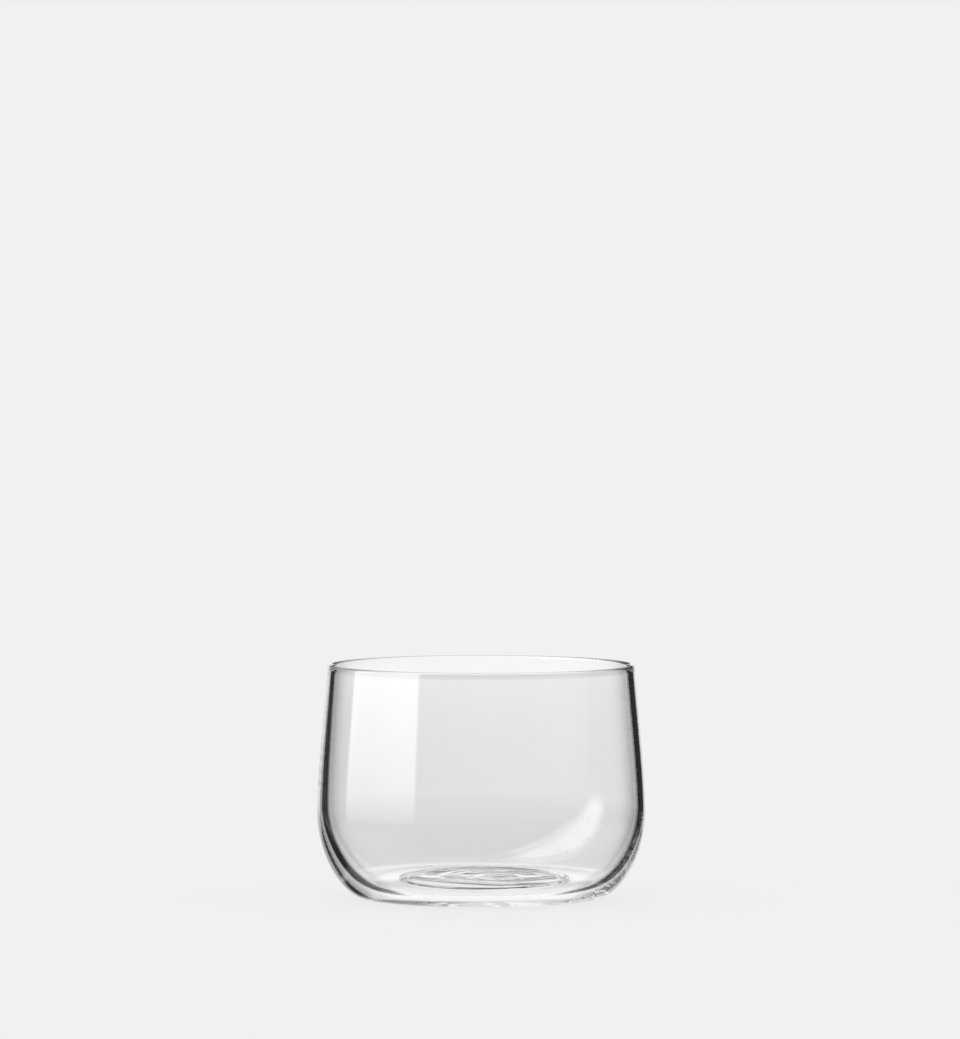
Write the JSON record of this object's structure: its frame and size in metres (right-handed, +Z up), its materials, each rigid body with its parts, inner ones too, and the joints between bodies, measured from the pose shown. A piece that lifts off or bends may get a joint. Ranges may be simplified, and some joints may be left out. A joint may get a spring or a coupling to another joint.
{
  "type": "espresso glass",
  "caption": "Low clear espresso glass with a rounded heel and belly, a thin wall leaning in to a fire-polished rim, and a slightly thicker base with a shallow rippled hollow underneath.",
  "frame": {"origin": "centre of the flat ring that the glass stands on, in the plane of the table", "axes": "+Z up along the axis that the glass is turned about, towards the rim; X and Y lie in the table's plane, and the glass is the same all round"},
  "size_m": [0.065, 0.065, 0.0464],
  "materials": {
    "clear_glass": "clear, colourless and fire-polished, with faint rings from blowing under the base"
  },
  "bodies": {
    "root": {"glass_body": "clear_glass"}
  },
  "joints": []
}
